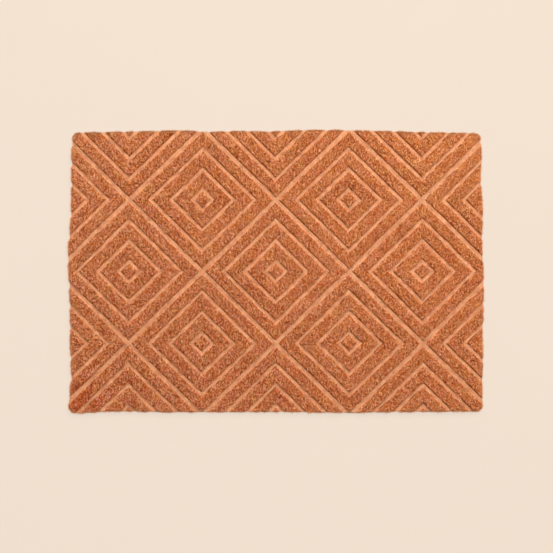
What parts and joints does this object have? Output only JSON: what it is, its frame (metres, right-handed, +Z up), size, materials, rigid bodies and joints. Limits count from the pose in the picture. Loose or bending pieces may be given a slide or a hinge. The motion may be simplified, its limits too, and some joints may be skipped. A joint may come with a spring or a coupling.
{
  "type": "doormat",
  "caption": "Flat rectangular coir doormat with pressed grooves in a nested lozenge repeat, for wiping shoes at a door.",
  "frame": {"origin": "on the floor, under the middle of the mat", "axes": "+X along the long side, +Y along the short side, +Z up out of the pile"},
  "size_m": [0.6056, 0.413, 0.015],
  "materials": {
    "coir": "stiff, rough coconut-fibre pile, matt, with smoother and paler groove floors"
  },
  "bodies": {
    "root": {"mat": "coir"}
  },
  "joints": []
}
